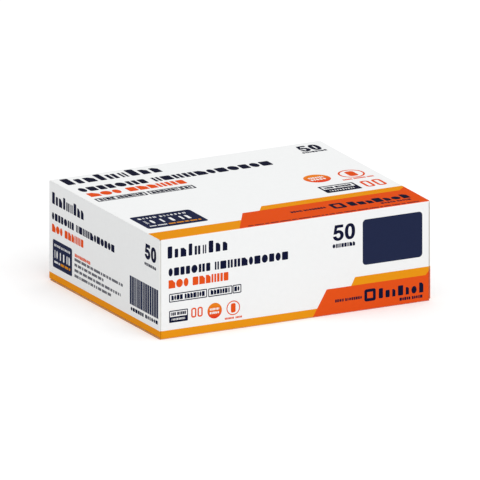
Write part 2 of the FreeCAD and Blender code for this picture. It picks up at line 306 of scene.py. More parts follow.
fold_group, given, result = new_group(
    "pressed_fold",
    [("Vector", VECTOR), ("Colour", COLOUR), ("Bare", COLOUR), ("Corner", NUMBER), ("Rub", NUMBER)],
    [("Colour", COLOUR)],
)
flat = ramp(fold_group, given["Corner"], CROWN, FOLD_END, interpolation_type="SMOOTHSTEP")
on_crown = work_out(fold_group, "SUBTRACT", 1.0, flat)
speck = add_node(fold_group, "ShaderNodeTexNoise")
speck.inputs["Scale"].default_value = SPECKS_PER_MM
speck.inputs["Detail"].default_value = SPECK_DETAIL
feed(fold_group, speck.inputs["Vector"], given["Vector"])
broken = ramp(fold_group, speck.outputs[0], SPECK_START, SPECK_FULL)
worn = all_of(fold_group, on_crown, broken, given["Rub"])
feed(fold_group, result["Colour"], mix_colours(fold_group, worn, given["Colour"], given["Bare"]))
print("group", fold_group.name, "has", len(fold_group.nodes), "nodes")

# %% [markdown]
# ## Fields of ink
#
# Along the foot of each long side lie an amber band, a red-orange field with a slanted end and a
# short amber strip over it. On the sheet each is the area below a level and to the right of a
# leaning line. One group gives that mask, and each field is the group with its own numbers.
# Masks follow the board round its folds, which a separate film would have to be bent to do.

# %% Group: leaning field
field_group, given, result = new_group(
    "leaning_field",
    [("Along", NUMBER), ("Up", NUMBER), ("Level", NUMBER), ("Start", NUMBER), ("Lean", NUMBER)],
    [("Mask", NUMBER)],
)
edge = work_out(field_group, "MULTIPLY_ADD", given["Up"], given["Lean"], given["Start"])
right_of = over(field_group, given["Along"], edge)
low_enough = under(field_group, given["Up"], given["Level"])
feed(field_group, result["Mask"], all_of(field_group, right_of, low_enough))
print("group", field_group.name, "has", len(field_group.nodes), "nodes")

# %% [markdown]
# ## Where the fields lie
#
# The sides and the top carry the same four fields in two sizes. The front measures them from its
# left end. The back does so from its own left end, which is the carton's right one, so a mix by
# the sign of Y turns the count round there.

# %% Fields of the sides and the top
# level, start and lean of the band, the strip, the field and the small corner, in mm
SIDE_FIELDS = ((7.0, -9, 0), (28.4, 158.5, 0.515), (21.6, 135.4, 0.583), (28.4, 216.4, 0.89))
TOP_FIELDS = ((20.6, -9, 0), (47.9, 82.4, 0.677), (37.5, 70.6, 0.589), (47.9, 190.5, 1.10))


def print_fields(tree, along, up, fields):
    """Masks of the amber and the red-orange ink for one panel."""
    band, strip, field, corner = (
        place_group(tree, field_group, Along=along, Up=up, Level=level, Start=start, Lean=lean)["Mask"]
        for level, start, lean in fields
    )
    return any_of(tree, band, strip), any_of(tree, field, corner)


def along_side(tree, x, y):
    """How far a point is from the left end of its own long side, in mm."""
    on_front = work_out(tree, "ADD", x, HALF_LENGTH)
    on_back = work_out(tree, "SUBTRACT", HALF_LENGTH, x)
    return mix_numbers(tree, over(tree, y, 0.0), on_front, on_back)


print("fields on a side and on the top:", len(SIDE_FIELDS), len(TOP_FIELDS))

# %% [markdown]
# ## A board material
#
# Board, ink and film differ in colour and gloss, and are otherwise built alike: read the point,
# work out a colour, lay the grain over it and hand it to the shader. The bump is two hundredths
# of a millimetre deep, as coated board is.

# %% Helpers for board, ink and film
BOARD_FINISH = {"mottle": 0.03, "gloss": 0.62, "bump": 0.15}
GRAIN_DEPTH = 0.02 * MM
RUB = 0.35


def new_material(name):
    """A material with nothing but its output and a Principled shader."""
    material = bpy.data.materials.new(name)
    material.use_nodes = True
    tree = material.node_tree
    shader = tree.nodes["Principled BSDF"]
    return material, tree, shader


def read_point(tree):
    """The object's coordinates in millimetres, together and apart, and its own normal's parts."""
    source = add_node(tree, "ShaderNodeTexCoord")
    scaled = add_node(tree, "ShaderNodeVectorMath", operation="SCALE")
    feed(tree, scaled.inputs[0], source.outputs["Object"])
    scaled.inputs["Scale"].default_value = 1 / MM
    parts = []
    for vector in (scaled.outputs[0], source.outputs["Normal"]):
        split = add_node(tree, "ShaderNodeSeparateXYZ")
        feed(tree, split.inputs[0], vector)
        parts.append(split.outputs)
    return scaled.outputs[0], parts[0], parts[1]


def finish_board(tree, shader, point, colour, mottle, gloss, bump, shine=0.01):
    """Grain over a colour, into the shader of a board, an ink or a film. It returns the bump."""
    grain = place_group(tree, grain_group, Vector=point, Colour=colour, Mottle=mottle, Gloss=gloss)
    relief = add_node(tree, "ShaderNodeBump")
    relief.inputs["Strength"].default_value = bump
    relief.inputs["Distance"].default_value = GRAIN_DEPTH
    feed(tree, relief.inputs["Height"], grain["Height"])
    feed(tree, shader.inputs["Base Color"], grain["Colour"])
    feed(tree, shader.inputs["Roughness"], grain["Roughness"])
    feed(tree, shader.inputs["Normal"], relief.outputs[0])
    shader.inputs["Specular IOR Level"].default_value = shine
    return relief


def rub_fold(tree, point, colour, corner):
    """The colour, with specks of the white coat on the crown of a fold."""
    return place_group(
        tree, fold_group, Vector=point, Colour=colour, Bare=WHITE_COAT, Corner=corner, Rub=RUB
    )["Colour"]


def dress(material, *names):
    """Puts a material on CAD nodes, in place of the one they came with."""
    for name in names:
        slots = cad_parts[name].data.materials
        slots.clear()
        slots.append(material)


print("board finish:", BOARD_FINISH)

# %% [markdown]
# ## The sleeve: top or side
#
# One sheet has a coated outer face and a bare inner one. The CAD solid has both, so the material
# must know which face a point is on. The first question is which print it takes, and the fold
# between top and side is shared in its middle, where a point is as far into one as the other.

# %% The carton's board: print
FOLD = 1.0
TOP_START = HEIGHT - FOLD - 0.01
INK_WRAP = 2.5

board, tree, shader = new_material("carton_board")
point, (x, y, z), (face_x, face_y, face_z) = read_point(tree)
far_x, far_y = work_out(tree, "ABSOLUTE", x), work_out(tree, "ABSOLUTE", y)
into_top = work_out(tree, "SUBTRACT", z, HEIGHT - FOLD)
into_side = work_out(tree, "SUBTRACT", far_y, HALF_WIDTH - FOLD)
is_top = all_of(tree, over(tree, into_top, into_side), over(tree, z, TOP_START))
side_amber, side_red = print_fields(tree, along_side(tree, x, y), z, SIDE_FIELDS)
from_left = work_out(tree, "ADD", x, HALF_LENGTH)
from_front = work_out(tree, "ADD", y, HALF_WIDTH)
top_amber, top_red = print_fields(tree, from_left, from_front, TOP_FIELDS)
inked = any_of(tree, over(tree, far_y, HALF_WIDTH - INK_WRAP), over(tree, z, HEIGHT - FOLD))

colour = WHITE_COAT
# on the top, the deeper copies of the inks are painted shade against the sheen
for side_mask, top_mask, side_paint, top_paint in (
    (side_amber, top_amber, AMBER, SHADED_TOP_AMBER), (side_red, top_red, RED_ORANGE, SHADED_TOP_RED),
):
    here = all_of(tree, mix_numbers(tree, is_top, side_mask, top_mask), inked)
    colour = mix_colours(tree, here, colour, mix_colours(tree, is_top, side_paint, top_paint))
nearer_edge = work_out(tree, "MINIMUM", work_out(tree, "SUBTRACT", HEIGHT, z), z)
corner = work_out(tree, "ADD", work_out(tree, "SUBTRACT", HALF_WIDTH, far_y), nearer_edge)
printed = rub_fold(tree, point, colour, corner)
print("carton print has", len(tree.nodes), "nodes")

# %% [markdown]
# ## The sleeve: coated, raw or cut
#
# A face that lies on the outer box and doesn't look along the carton is coated. So are the fold
# of the glued lap, low at the back, and the dust flaps' outer faces. Anything deeper is raw ply.
# The ends of the panels are cut edges, which are paler, and the band's ink has run over the
# bottom panel's.

# %% The carton's board: coat, ply and edge
SKIN = 0.45  # a face nearer to the outer box than this is the sheet's outer face
END_ON = 0.8  # the normal's part along X is over this on a face that looks along the carton
LAP_FOLD_BACK, LAP_FOLD_TOP, LAP_FACING = HALF_WIDTH - 1.8, 1.55, 0.5
DUST_FACE, DUST_SLACK, DUST_FACING = HALF_LENGTH - 1.08, 0.2, 80.0
CUT_START = HALF_LENGTH - 0.5

turned = work_out(tree, "ABSOLUTE", face_x)
from_middle = work_out(tree, "ABSOLUTE", work_out(tree, "SUBTRACT", z, HEIGHT / 2))
on_box = any_of(
    tree, over(tree, far_y, HALF_WIDTH - SKIN), over(tree, from_middle, HEIGHT / 2 - SKIN)
)
outer = all_of(tree, on_box, under(tree, turned, END_ON))
lap_fold = all_of(
    tree, over(tree, y, LAP_FOLD_BACK), under(tree, z, LAP_FOLD_TOP),
    over(tree, work_out(tree, "SUBTRACT", face_y, face_z), LAP_FACING),
)
dust_face = all_of(
    tree, work_out(tree, "COMPARE", far_x, DUST_FACE, DUST_SLACK),
    over(tree, work_out(tree, "MULTIPLY", x, face_x), DUST_FACING),
)
coated = any_of(tree, outer, lap_fold, dust_face)
cut_end = all_of(tree, over(tree, far_x, CUT_START), over(tree, turned, END_ON))
low_end = all_of(tree, cut_end, under(tree, z, FOLD))
uncoated = mix_colours(tree, low_end, mix_colours(tree, cut_end, RAW_PLY, CUT_EDGE), AMBER)
finish_board(tree, shader, point, mix_colours(tree, coated, uncoated, printed), **BOARD_FINISH)
dress(board, "carton")
print("carton board has", len(tree.nodes), "nodes")

# %% [markdown]
# ## The closures' board
#
# A closure is coated on the face that looks out of its end and on the under side of its tongue,
# which is the same face of the sheet round the fold. Its amber band is a level, and stops on the
# tongue. The band's amber is a little lighter than the sides': painted light on the end, which
# stands in half shade. Its cut sides take the inks of the long side beside them, so that the
# colours run on to the carton's upright edge.

# %% The closure flaps' board
BAND_TOP, BAND_REACH = 7.1, HALF_LENGTH - 3.5
OUT_FACING, DOWN_FACING, SIDE_FACING = 45.0, -0.3, 0.7
TONGUE_TOP = 10.0

closure_board, tree, shader = new_material("closure_board")
point, (x, y, z), (face_x, face_y, face_z) = read_point(tree)
far_x = work_out(tree, "ABSOLUTE", x)
out_face = over(tree, work_out(tree, "MULTIPLY", x, face_x), OUT_FACING)
under_face = all_of(tree, under(tree, face_z, DOWN_FACING), under(tree, z, TONGUE_TOP))
coated = any_of(tree, out_face, under_face)
near_face = over(tree, far_x, BAND_REACH)
banded = all_of(tree, under(tree, z, BAND_TOP), near_face)
# the band's lighter amber is painted light on the end, which stands in half shade
colour = mix_colours(tree, banded, WHITE_COAT, END_AMBER_PAINTED_LIGHT)
above_fold = work_out(tree, "SUBTRACT", z, FOLD)
corner = work_out(tree, "ADD", work_out(tree, "SUBTRACT", HALF_LENGTH, far_x), above_fold)
printed = rub_fold(tree, point, colour, corner)
cut_side = over(tree, work_out(tree, "ABSOLUTE", face_y), SIDE_FACING)
side_amber, side_red = print_fields(tree, along_side(tree, x, y), z, SIDE_FIELDS)
edge_paint = mix_colours(tree, all_of(tree, side_amber, near_face), CUT_EDGE, AMBER)
edge_paint = mix_colours(tree, all_of(tree, side_red, near_face), edge_paint, RED_ORANGE)
uncoated = mix_colours(tree, cut_side, RAW_PLY, edge_paint)
finish_board(tree, shader, point, mix_colours(tree, coated, uncoated, printed), **BOARD_FINISH)
dress(closure_board, "left_closure_flap", "right_closure_flap")
print("closure board has", len(tree.nodes), "nodes")

# %% [markdown]
# ## Ink films
#
# Words, labels and marks lie flat inside one panel, so each ink on each panel is cut as a thin
# film: flat outlines in millimetres, filled as a 2D curve, made into a mesh and laid on the
# panel by one matrix. A film keeps crisp edges at any distance. The words are rows of plain
# blocks, because nothing on this carton is lettered, apart from its count of 50.

# %% Panels and films
FILM = 0.02 * MM


def panel_matrix(corner, along, up):
    """Takes flat print, measured from a panel's lower left corner, onto that panel."""
    along, up = Vector(along), Vector(up)
    turn = Matrix((along, up, along.cross(up))).transposed().to_4x4()
    return Matrix.Translation(Vector(corner) * MM) @ turn


LEFT, RIGHT, FRONT, BACK = -HALF_LENGTH, HALF_LENGTH, -HALF_WIDTH, HALF_WIDTH
PANELS = {
    "front": ("filled_carton", panel_matrix((LEFT, FRONT, 0), (1, 0, 0), (0, 0, 1))),
    "back": ("filled_carton", panel_matrix((RIGHT, BACK, 0), (-1, 0, 0), (0, 0, 1))),
    "top": ("filled_carton", panel_matrix((LEFT, FRONT, HEIGHT), (1, 0, 0), (0, 1, 0))),
    "left_end": ("left_closure", panel_matrix((LEFT, BACK, 0), (0, -1, 0), (0, 0, 1))),
    "right_end": ("right_closure", panel_matrix((RIGHT, FRONT, 0), (0, 1, 0), (0, 0, 1))),
}


def add_piece(name, mesh, material):
    """An object of one material, linked into the scene."""
    mesh.materials.clear()
    mesh.materials.append(material)
    piece = bpy.data.objects.new(name, mesh)
    bpy.context.scene.collection.objects.link(piece)
    return piece


def lay_film(panel, ink_name, outlines, material, layer=0):
    """Cuts a film from closed outlines and lays it on a panel. Outlines inside others are holes."""
    body, matrix = PANELS[panel]
    curve = bpy.data.curves.new("outline", "CURVE")
    curve.dimensions = "2D"
    curve.fill_mode = "BOTH"
    curve.extrude = FILM
    for outline in outlines:
        spline = curve.splines.new("POLY")
        spline.points.add(len(outline) - 1)
        for knot, (along, up) in zip(spline.points, outline):
            knot.co = (along * MM, up * MM, 0, 1)
        spline.use_cyclic_u = True
    sheet = bpy.data.objects.new("outline", curve)
    mesh = bpy.data.meshes.new_from_object(sheet)
    bpy.data.objects.remove(sheet)
    mesh.name = f"{panel}_{ink_name}"
    mesh.transform(matrix @ Matrix.Translation((0, 0, layer * FILM)))
    film = add_piece(mesh.name, mesh, material)
    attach(film, body)
    return film


print("panels:", ", ".join(PANELS))

# %% [markdown]
# ## Arcs, blocks, rings and frames
#
# All print is made of a few flat outlines. A rounded block is four quarter arcs joined by straight
# sides. A ring and a frame are two outlines each, one inside the other, which the filled curve
# reads as a hole.

# %% Plain shapes
def arc(centre, radius, start, end, steps):
    """Points along an arc; radius is (across, up) and the angles are in degrees."""
    turns = [math.radians(start + (end - start) * i / steps) for i in range(steps + 1)]
    return [(centre[0] + radius[0] * math.cos(a), centre[1] + radius[1] * math.sin(a)) for a in turns]


def oval(centre, radius, corners=60):
    """A closed oval; radius is (across, up)."""
    return arc(centre, radius, 0, 360 - 360 / corners, corners - 1)


def block(left, low, right, high, corner=0.0):
    """A rectangle, with rounded corners if they have a radius."""
    if corner == 0:
        return [(left, low), (right, low), (right, high), (left, high)]
    points = []
    for across, up, start in (
        (right - corner, low + corner, -90), (right - corner, high - corner, 0),
        (left + corner, high - corner, 90), (left + corner, low + corner, 180),
    ):
        points += arc((across, up), (corner, corner), start, start + 90, 5)
    return points


def ring(centre, radius, line):
    """Two outlines that leave a ring."""
    return [oval(centre, (reach, reach)) for reach in (radius, radius - line)]


def thin_frame(left, low, right, high, corner, line):
    """Two outlines that leave a frame of even width."""
    inner = max(corner - line, 0.05)
    return [
        block(left, low, right, high, corner),
        block(left + line, low + line, right - line, high - line, inner),
    ]


print("a rounded block has", len(block(0, 0, 10, 5, 1)), "points")

# %% [markdown]
# ## The count
#
# The plain number 50 is the one thing that is spelled out. Its figures are drawn as bold figures
# are, with strokes that are heavier across than up. The 0 is two ovals whose sides are straighter
# than an ellipse's, because each point's share of the way out is raised to a power under 1.

# %% The figures 5 and 0
FIGURE_WIDE, THIN_STROKE = 0.475, 0.8
BOWL_MIDDLE, BOWL_HALF = 0.47, 0.335
STEM_TOP, STEM_FOOT, NECK, FLAG_END = 0.13, 0.425, 0.38, 0.95
ROUNDNESS = 0.85


def figure_five(left, low, wide, tall, line, thin):
    """The outline of a 5: round the bowl, over the flag, down the stem and back inside the bowl."""
    middle = (left + wide * BOWL_MIDDLE, low + tall * BOWL_HALF)
    reach = (wide * (1 - BOWL_MIDDLE), tall * BOWL_HALF)
    flag, high = left + wide * FLAG_END, low + tall
    points = arc(middle, reach, -172, 107, 28)
    points += [(left + wide * NECK, high - thin), (flag, high - thin), (flag, high)]
    points += [(left + wide * STEM_TOP, high), (left, low + tall * STEM_FOOT)]
    return points + arc(middle, (reach[0] - line, reach[1] - thin), 142, -172, 28)


def straighten(value, middle, reach):
    """Moves a point of an oval outwards, most where it is about a third of the way out."""
    out = value - middle
    return middle + math.copysign(abs(out) ** ROUNDNESS * reach ** (1 - ROUNDNESS), out)


def figure_zero(centre, wide, tall, line, thin):
    """The two outlines of a 0."""
    return [
        [
            (straighten(x, centre[0], across), straighten(y, centre[1], up))
            for x, y in oval(centre, (across, up))
        ]
        for across, up in ((wide / 2, tall / 2), (wide / 2 - line, tall / 2 - thin))
    ]


def fifty(left, low, right, high, line):
    """The outlines of the number 50; line is the width of its upright strokes."""
    wide, tall, thin = (right - left) * FIGURE_WIDE, high - low, line * THIN_STROKE
    centre = (right - wide / 2, (low + high) / 2)
    return [figure_five(left, low, wide, tall, line, thin)] + figure_zero(centre, wide, tall, line, thin)


print("the 50 has", sum(len(outline) for outline in fifty(0, 0, 18, 12, 2.5)), "points")

# %% [markdown]
# ## Rows in place of words
#
# A line of print becomes a row of plain shapes: blocks, discs, pairs of posts and blocks with one
# corner cut. Their widths and kinds are drawn by lot from a seed of the row's own, so a row is the
# same on every run. Wider spaces stand where a word would end, and a row may step up and down.

# %% Rows of shapes
EVEN, MIXED = (1.0,), (1.0, 0.74, 0.74)
SHAPE_WIDTHS = (0.85, 1.0, 1.15)
SHAPE_KINDS = ("block", "disc", "posts", "block", "cut")
WORD_SPACE, ROUNDING, POST_GAP, CUT_SIZE = 0.5, 0.14, 0.07, 0.45


def one_shape(kind, left, low, right, high, unit):
    """The outlines of one shape in a row; unit is the row's usual width of a shape."""
    across, up, corner, part = (left + right) / 2, (low + high) / 2, ROUNDING * unit, POST_GAP * unit
    if kind == "disc":
        return [oval((across, up), ((right - left) / 2, (high - low) / 2), 24)]
    if kind == "posts":
        return [
            block(left, low, across - part, high, corner / 2),
            block(across + part, low, right, high, corner / 2),
        ]
    if kind == "cut":
        cut = (right - left) * CUT_SIZE
        return [[(left, low), (right, low), (right, high - cut), (right - cut, high), (left, high)]]
    return [block(left, low, right, high, corner)]


def blocks(left, low, right, high, count, seed, spaces=(), tops=EVEN, space=0.17):
    """A row of plain shapes; spaces are the numbers of those that start a word."""
    draw = random.Random(seed)
    widths = [draw.choice(SHAPE_WIDTHS) for _ in range(count)]
    unit = (right - left) / (sum(widths) + WORD_SPACE * len(spaces))
    gap, shapes, start = space * unit, [], left
    for i, share in enumerate(widths):
        start += WORD_SPACE * unit if i in spaces else 0.0
        end = start + share * unit - gap
        top = low + (high - low) * tops[i % len(tops)]
        shapes += one_shape(draw.choice(SHAPE_KINDS), start, low, end, top, unit)
        start = end + gap
    return shapes


print("a row of nine has", len(blocks(0, 0, 60, 10, 9, "name")), "outlines")

# %% [markdown]
# ## Small print and stripes
#
# Lines too small to read are words of two to nine short dashes. The ends also carry a field of
# upright stripes of uneven width.

# %% Dashes and stripes
DASH, DASH_STEP, WORD_STEP, DASH_ROOM = 0.95, 1.2, 1.1, 1.0
STRIPES, STRIPE_GAPS, STRIPE_ROOM = (1.0, 1.7, 2.4, 3.2), (0.35, 0.5, 0.6), 0.6


def small_print(left, low, right, high, seed):
    """A line of short dashes in words of uneven length."""
    draw = random.Random(seed)
    shapes, at = [], left
    while at < right - DASH_STEP:
        for _ in range(draw.randint(2, 9)):
            if at < right - DASH_ROOM:
                shapes.append(block(at, low, at + DASH, high))
                at += DASH_STEP
        at += WORD_STEP
    return shapes


def stripes(left, low, right, high, seed):
    """Upright stripes of uneven width."""
    draw = random.Random(seed)
    shapes, at = [], left
    while at < right - STRIPE_ROOM:
        wide = draw.choice(STRIPES)
        shapes.append(block(at, low, min(at + wide, right), high))
        at += wide + draw.choice(STRIPE_GAPS)
    return shapes


print("stripes in 50 mm:", len(stripes(0, 0, 50, 10, "stripes")))

# %% [markdown]
# ## Inks
#
# Offset ink is a thin even layer: it takes the board's grain, is a little glossier than the bare
# coat and varies by a percent or two. Each ink is its own material, made by one function from a
# colour. The round mark fades from deep red to orange, which a ramp along one axis gives.

# %% Ink materials
INK_FINISH = {"mottle": 0.05, "gloss": 0.55, "bump": 0.12}


def make_ink(name, colour, fade=None):
    """An ink; fade is (axis, low, high, colour at the low end) in mm."""
    material, tree, shader = new_material(name)
    point, place, _ = read_point(tree)
    if fade:
        axis, low, high, low_colour = fade
        colour = mix_colours(tree, ramp(tree, place[axis], low, high), low_colour, colour)
    finish_board(tree, shader, point, colour, **INK_FINISH)
    return material


navy_ink = make_ink("navy_ink", NAVY)
# the top's navy, red and label navy are deeper copies of the inks: painted shade against the sheen
top_navy_ink = make_ink("top_navy_ink", SHADED_TOP_NAVY)
top_red_ink = make_ink("top_red_ink", SHADED_TOP_RED)
label_ink = make_ink("label_ink", LABEL_NAVY)
top_label_ink = make_ink("top_label_ink", SHADED_TOP_LABEL_NAVY)
red_ink = make_ink("red_orange_ink", RED_ORANGE)
amber_ink = make_ink("amber_ink", AMBER)
white_ink = make_ink("white_ink", WHITE_COAT)
side_fade = make_ink("side_fade_ink", WARM_ORANGE, ("Z", 12.5, 22.0, DEEP_RED))
top_fade = make_ink("top_fade_ink", WARM_ORANGE, ("Y", -8.0, 8.0, DEEP_RED))
print("inks:", [material.name for material in bpy.data.materials if material.name.endswith("_ink")])

# %% [markdown]
# ## The long sides' print
#
# The front carries rows of block print at the left, four small marks under them, the count, and
# a large plain label at the right. The back is hidden in the photograph. It takes the same
# print, as such a sheet usually repeats it. Only sizes differ from row to row, so a list of
# calls per ink is all that a side needs. Each gives left, low, right and high, in mm.

# %% Front and back
def print_side(panel):
    """The films of one long side."""
    navy = blocks(6.9, 65.8, 62.0, 75.6, 9, "name", tops=MIXED, space=0.34)
    navy += blocks(7.7, 51.0, 114.9, 57.7, 18, "what", (7,), space=0.2)
    navy += thin_frame(8.2, 29.5, 41.9, 36.6, 0.8, 0.8)
    navy += blocks(10.2, 31.0, 40.2, 35.1, 11, "code", (4,))
    navy += thin_frame(42.9, 29.4, 64.3, 36.4, 0.8, 0.8)
    navy += thin_frame(64.6, 29.4, 72.3, 36.4, 0.8, 0.8)
    navy += blocks(45.0, 31.0, 62.4, 34.9, 7, "how")
    navy += blocks(66.0, 31.0, 71.0, 34.9, 2, "gas")
    navy += thin_frame(8.2, 12.8, 24.9, 22.7, 0.8, 0.85)
    navy += blocks(9.9, 18.5, 23.4, 21.1, 8, "badge", (3,))
    navy += fifty(154.0, 60.1, 173.2, 73.2, 3.05)
    navy += blocks(153.2, 54.5, 173.6, 57.8, 8, "count")
    navy += blocks(155.5, 9.8, 179.6, 12.2, 12, "small", (4,), space=0.25)
    navy += thin_frame(181.4, 6.9, 191.5, 17.0, 1.8, 2.5)
    navy += blocks(194.2, 7.9, 236.0, 16.1, 7, "house", tops=MIXED, space=0.38)
    navy += blocks(212.6, 3.5, 233.2, 6.0, 10, "since", (5,))
    lay_film(panel, "navy_print", navy, navy_ink)
    red = blocks(7.7, 41.0, 61.6, 47.9, 9, "with", (3,), space=0.13)
    red += thin_frame(27.8, 14.4, 32.4, 22.5, 1.8, 1.25)
    red += thin_frame(33.4, 14.4, 38.0, 22.5, 1.8, 1.25)
    red += ring((65.1, 17.7), 6.0, 0.85)
    red += [block(63.0, 13.9, 67.2, 21.5, 1.3)]
    red += small_print(57.6, 8.8, 73.4, 10.4, "caption")
    lay_film(panel, "red_print", red, red_ink)
    lay_film(panel, "round_mark", [oval((48.6, 17.6), (6.4, 6.4))], side_fade)
    lay_film(panel, "badge_foot", [block(8.6, 13.1, 24.5, 17.5)], navy_ink, 1)
    white = blocks(44.3, 18.1, 52.9, 19.9, 7, "free", space=0.3)
    white += blocks(44.3, 15.1, 52.9, 16.9, 5, "of", space=0.3)
    white += blocks(10.4, 14.5, 22.8, 16.1, 10, "foot", space=0.45)
    lay_film(panel, "white_print", white, white_ink, 2)
    lay_film(panel, "label", [block(179.9, 37.1, 232.8, 74.4, 3.0)], label_ink)


for panel in ("front", "back"):
    print_side(panel)

# %% [markdown]
# ## The top's print
#
# The top repeats the front's rows at a larger size, with a rounded label at the lower left and
# the small marks at the right.

# %% Top
navy = blocks(6.5, 169.3, 93.0, 186.5, 9, "name", tops=MIXED, space=0.27)
navy += blocks(7.2, 146.8, 178.5, 158.2, 18, "what", (7,))
navy += thin_frame(6.5, 117.0, 50.8, 126.3, 0.9, 1.5)
navy += blocks(9.6, 119.2, 48.4, 124.4, 11, "code", (4,), space=0.13)
navy += thin_frame(52.8, 116.8, 82.0, 126.1, 0.9, 1.5)
navy += thin_frame(82.2, 116.8, 93.4, 126.1, 0.9, 1.5)
navy += blocks(55.6, 119.0, 79.4, 124.1, 7, "how", space=0.13)
navy += blocks(84.8, 119.0, 91.0, 124.1, 2, "gas")
navy += fifty(213.5, 167.2, 232.1, 182.4, 3.7)
navy += blocks(211.4, 162.8, 233.4, 166.3, 8, "count")
navy += thin_frame(178.0, 56.0, 209.0, 74.6, 1.0, 1.8)
navy += blocks(181.4, 66.9, 205.6, 71.2, 8, "badge", (3,), space=0.12)
navy += blocks(127.2, 19.6, 158.6, 23.6, 12, "small", (4,))
navy += thin_frame(163.0, 14.4, 174.6, 28.0, 2.2, 3.2)
navy += blocks(178.2, 15.6, 232.4, 26.6, 7, "house", tops=MIXED, space=0.2)
navy += blocks(202.2, 10.0, 229.0, 13.4, 10, "since", (5,))
navy += small_print(80.0, 2.2, 232.0, 4.2, "address")
lay_film("top", "navy_print", navy, top_navy_ink)
red = blocks(7.6, 131.7, 94.2, 142.4, 9, "with", (3,), space=0.13)
red += thin_frame(214.0, 57.0, 221.9, 73.8, 3.0, 2.3)
red += thin_frame(224.2, 57.0, 232.1, 73.8, 3.0, 2.3)
red += ring((219.5, 96.1), 10.8, 1.6)
red += [block(215.6, 89.6, 223.4, 102.6, 2.4)]
red += small_print(205.2, 81.4, 233.2, 84.4, "caption")
lay_film("top", "red_print", red, top_red_ink)
lay_film("top", "round_mark", [oval((189.2, 96.3), (11.0, 11.0))], top_fade)
lay_film("top", "badge_foot", [block(178.4, 56.4, 208.6, 65.4)], top_navy_ink, 1)
lay_film("top", "label", [block(6.6, 31.4, 60.0, 66.4, 2.6)], top_label_ink)
white = blocks(11.4, 57.7, 54.8, 61.1, 12, "gauge", (5,), space=0.48)
white += blocks(12.0, 43.8, 54.4, 53.0, 6, "bore", (2, 3, 4), space=0.56)
white += small_print(10.8, 36.8, 26.8, 39.0, "size")
white += blocks(182.6, 97.0, 196.2, 100.6, 7, "free", space=0.35)
white += blocks(182.6, 91.8, 196.2, 95.4, 5, "of", space=0.35)
white += blocks(182.2, 59.4, 204.8, 61.8, 10, "foot", space=0.5)
lay_film("top", "white_print", white, white_ink, 2)
lay_film("top", "amber_print", small_print(27.8, 36.6, 56.6, 39.2, "metric"), amber_ink, 2)
print("outlines on the top:", len(navy) + len(red) + len(white))

# %% [markdown]
# ## The ends' print
#
# The end panels are the flaps that open, so their films ride on the closures. The left one shows
# a small label, four lines of small print and a field of stripes. The right one is hidden, and
# repeats it.

# %% Ends
# level and right end of the four lines of small print, in mm
SMALL_ROWS = ((27.0, 126.4), (22.7, 93.8), (18.2, 123.3), (13.7, 106.7))
ROW_LEFT, ROW_HIGH = 43.6, 2.3

for panel in ("left_end", "right_end"):
    navy = blocks(5.2, 64.2, 60.8, 73.8, 9, "name", tops=MIXED, space=0.26)
    navy += blocks(4.9, 51.2, 113.0, 57.2, 18, "what", (7,))
    navy += fifty(164.5, 60.7, 183.8, 73.2, 3.7)
    navy += blocks(163.6, 55.2, 183.8, 57.7, 8, "count")
    for row, (level, reach) in enumerate(SMALL_ROWS):
        navy += small_print(ROW_LEFT, level, reach, level + ROW_HIGH, f"row{row}")
    navy += blocks(140.0, 11.6, 187.0, 14.6, 12, "under", (6,))
    lay_film(panel, "navy_print", navy, navy_ink)
    red = blocks(5.0, 41.2, 59.6, 47.6, 9, "with", (3,), space=0.13)
    red += blocks(44.0, 30.4, 71.0, 33.2, 12, "heading")
    lay_film(panel, "red_print", red, red_ink)
    label = [block(6.4, 12.7, 39.4, 35.5, 1.7)] + stripes(138.4, 16.5, 187.8, 40.0, "stripes")
    lay_film(panel, "label", label, label_ink)
    white = blocks(9.4, 30.2, 36.6, 32.2, 12, "gauge", (5,), space=0.4)
    white += blocks(9.4, 20.6, 37.4, 27.0, 6, "bore", (2, 3, 4), space=0.5)
    white += small_print(9.2, 16.6, 18.6, 18.2, "size")
    lay_film(panel, "white_print", white, white_ink, 2)
    lay_film(panel, "amber_print", small_print(19.8, 16.4, 37.0, 18.4, "metric"), amber_ink, 2)
print("outlines on an end:", len(navy) + len(red) + len(label) + len(white))

# %% [markdown]
# ## Creases
#
# Each closure is creased from the top panel, and the sheet runs on round the fold. The two CAD
# solids stop a hair short of each other there, so a narrow strip of the same board joins them.

# %% Crease strips
# inwards from the end and down from the top, in mm
CREASE_PATH = ((1.5, 0.2), (0.6, 0.1), (0.28, 0.07), (0.16, 0.16), (0.07, 0.28), (0.1, 0.6), (0.2, 1.5))
CREASE_BOARD = 0.3
CREASE_HALF = HALF_WIDTH - 1.6

crease_board, tree, shader = new_material("crease_board")
point, _, _ = read_point(tree)
finish_board(tree, shader, point, WHITE_COAT, **BOARD_FINISH)


def crease_point(side, inwards, down, y=0.0):
    """A place near one upper end edge, in metres; side is -1 at the left and 1 at the right."""
    return (side * (HALF_LENGTH - inwards) * MM, y * MM, (HEIGHT - down) * MM)


